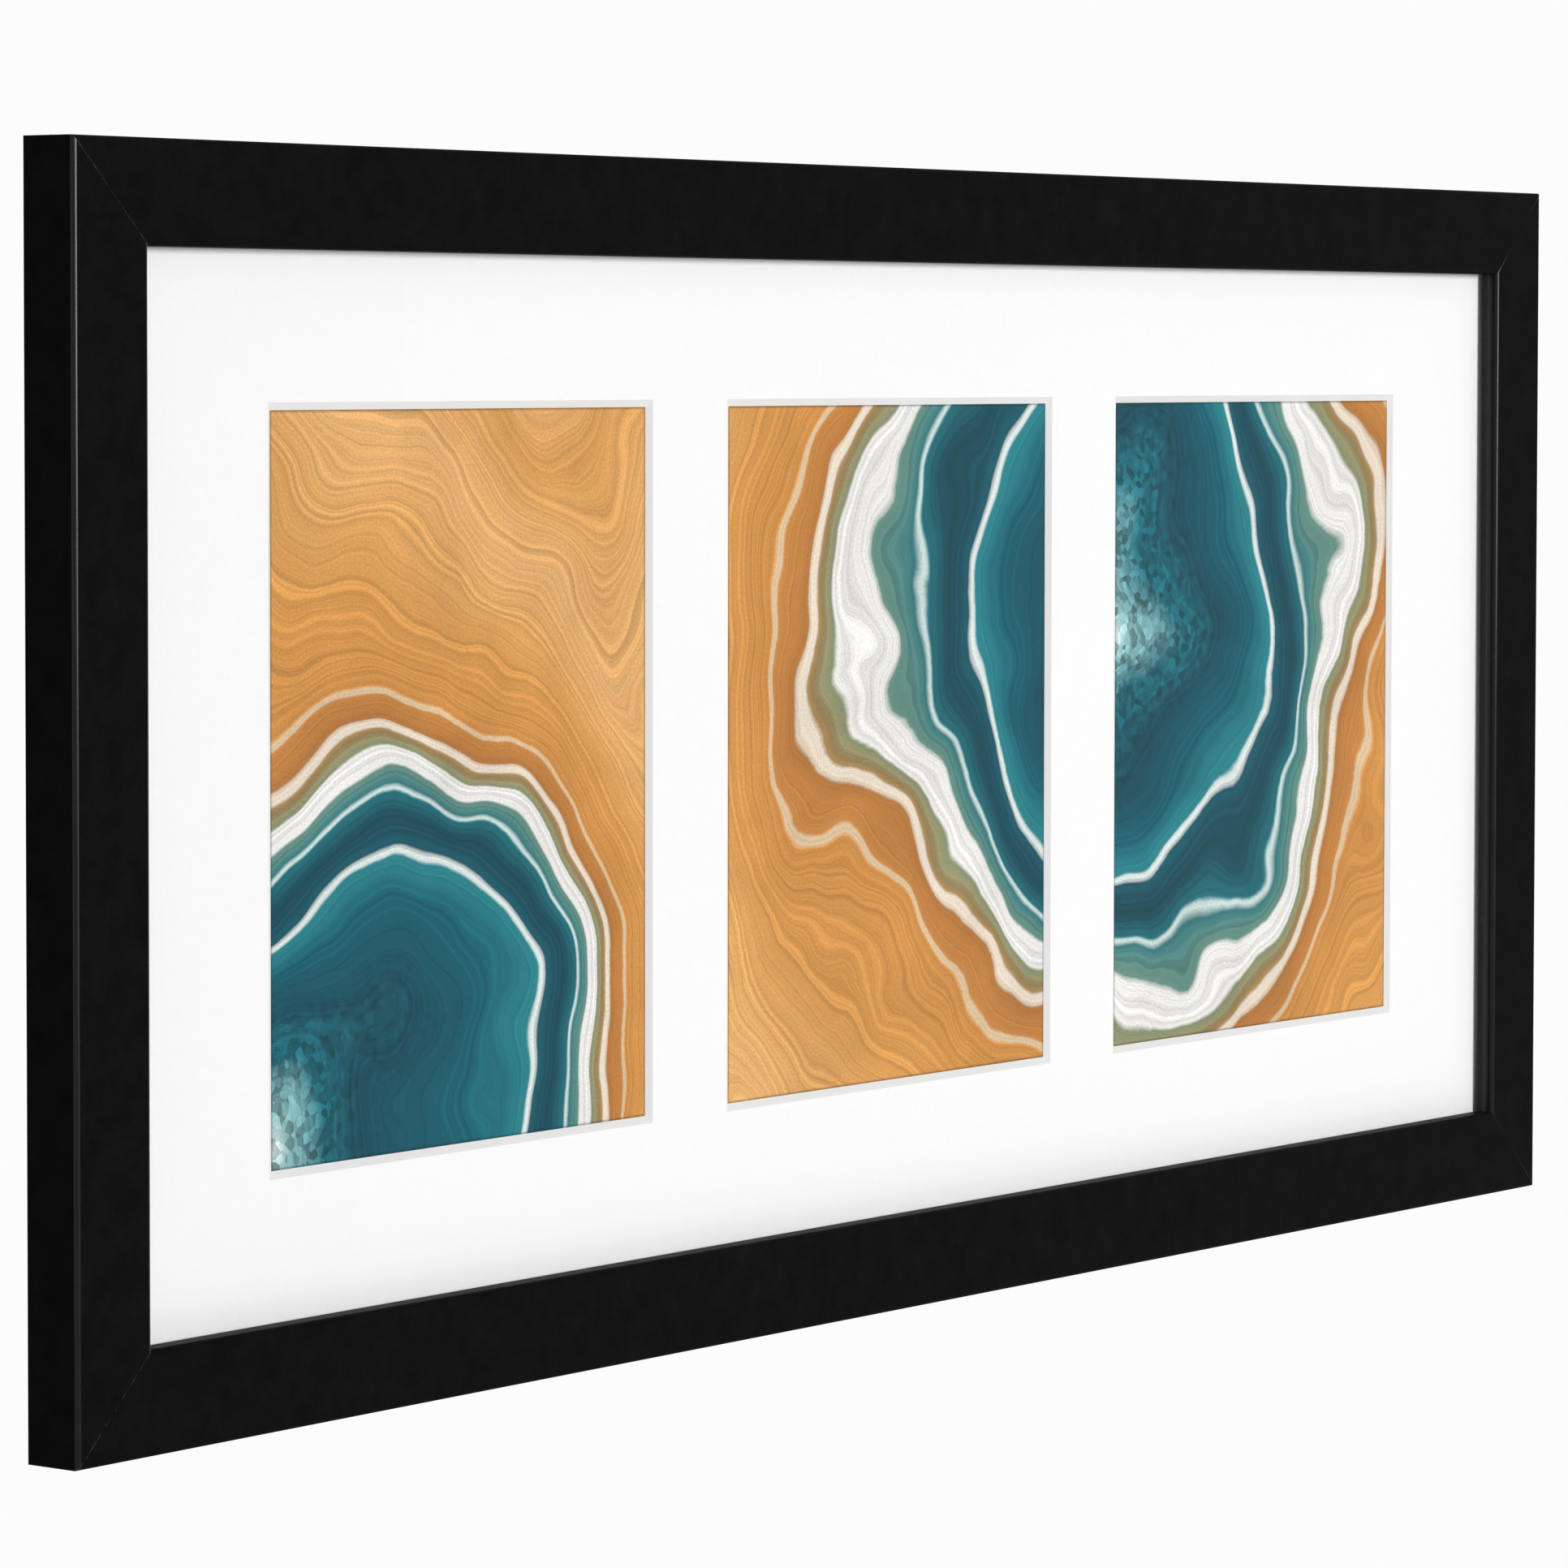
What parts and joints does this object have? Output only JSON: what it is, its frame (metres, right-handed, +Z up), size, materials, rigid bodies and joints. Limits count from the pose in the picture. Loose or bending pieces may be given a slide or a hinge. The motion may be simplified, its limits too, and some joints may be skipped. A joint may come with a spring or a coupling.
{
  "type": "collage photo frame",
  "caption": "Wide black wall frame with a mitred flat moulding, a glazed white mat with bevelled upright windows side by side, turn buttons and D-ring hangers behind.",
  "frame": {"origin": "on the wall plane, midway between the two wall hooks, at the height where the D-rings hang on them when turned up", "axes": "+X to the right as seen from the front, +Y back into the wall, +Z up"},
  "size_m": [0.8636, 0.0263, 0.4063],
  "materials": {
    "black_lacquer": "satin",
    "zinc_steel": "satin",
    "clear_glass": "polished",
    "white_mat": "matte",
    "photo_paper": "satin",
    "paper_tape": "matte",
    "corrugated_board": "matte",
    "brown_hardboard": "matte",
    "rubber": "matte"
  },
  "bodies": {
    "frame": {"bottom_rail": "black_lacquer", "top_rail": "black_lacquer", "right_stile": "black_lacquer", "left_stile": "black_lacquer", "corner_v_nails": "zinc_steel", "turn_button_screws": "zinc_steel", "hanger_screws": "zinc_steel", "glazing": "clear_glass", "mat_board": "white_mat", "left_print": "photo_paper", "left_print_tapes": "paper_tape", "centre_print": "photo_paper", "centre_print_tapes": "paper_tape", "right_print": "photo_paper", "right_print_tapes": "paper_tape", "filler_board": "corrugated_board", "backing_board": "brown_hardboard", "left_hanger_strap": "zinc_steel", "right_hanger_strap": "zinc_steel", "left_bumper": "rubber", "right_bumper": "rubber"},
    "turn_button_top_1": {"turn_button_top_1": "zinc_steel"},
    "turn_button_top_2": {"turn_button_top_2": "zinc_steel"},
    "turn_button_top_3": {"turn_button_top_3": "zinc_steel"},
    "turn_button_bottom_1": {"turn_button_bottom_1": "zinc_steel"},
    "turn_button_bottom_2": {"turn_button_bottom_2": "zinc_steel"},
    "turn_button_bottom_3": {"turn_button_bottom_3": "zinc_steel"},
    "turn_button_left": {"turn_button_left": "zinc_steel"},
    "turn_button_right": {"turn_button_right": "zinc_steel"},
    "left_d_ring": {"left_d_ring": "zinc_steel"},
    "right_d_ring": {"right_d_ring": "zinc_steel"}
  },
  "joints": [
    {"name": "turn_button_top_1_turn", "type": "hinge", "parent": "frame", "child": "turn_button_top_1", "pos_m": [-0.3, -0.0048, 0.05135], "axis": [0, 1, 0], "continuous": true},
    {"name": "turn_button_top_2_turn", "type": "hinge", "parent": "frame", "child": "turn_button_top_2", "pos_m": [0, -0.0048, 0.05135], "axis": [0, 1, 0], "continuous": true},
    {"name": "turn_button_top_3_turn", "type": "hinge", "parent": "frame", "child": "turn_button_top_3", "pos_m": [0.3, -0.0048, 0.05135], "axis": [0, 1, 0], "continuous": true},
    {"name": "turn_button_bottom_1_turn", "type": "hinge", "parent": "frame", "child": "turn_button_bottom_1", "pos_m": [-0.3, -0.0048, -0.32225], "axis": [0, 1, 0], "continuous": true},
    {"name": "turn_button_bottom_2_turn", "type": "hinge", "parent": "frame", "child": "turn_button_bottom_2", "pos_m": [0, -0.0048, -0.32225], "axis": [0, 1, 0], "continuous": true},
    {"name": "turn_button_bottom_3_turn", "type": "hinge", "parent": "frame", "child": "turn_button_bottom_3", "pos_m": [0.3, -0.0048, -0.32225], "axis": [0, 1, 0], "continuous": true},
    {"name": "turn_button_left_turn", "type": "hinge", "parent": "frame", "child": "turn_button_left", "pos_m": [-0.4154, -0.0048, -0.13545], "axis": [0, 1, 0], "continuous": true},
    {"name": "turn_button_right_turn", "type": "hinge", "parent": "frame", "child": "turn_button_right", "pos_m": [0.4154, -0.0048, -0.13545], "axis": [0, 1, 0], "continuous": true},
    {"name": "left_d_ring_swing", "type": "hinge", "parent": "frame", "child": "left_d_ring", "pos_m": [-0.41835, -0.00262, -0.01225], "axis": [1, 0, 0], "range_deg": [0, 180]},
    {"name": "right_d_ring_swing", "type": "hinge", "parent": "frame", "child": "right_d_ring", "pos_m": [0.41835, -0.00262, -0.01225], "axis": [1, 0, 0], "range_deg": [0, 180]}
  ]
}
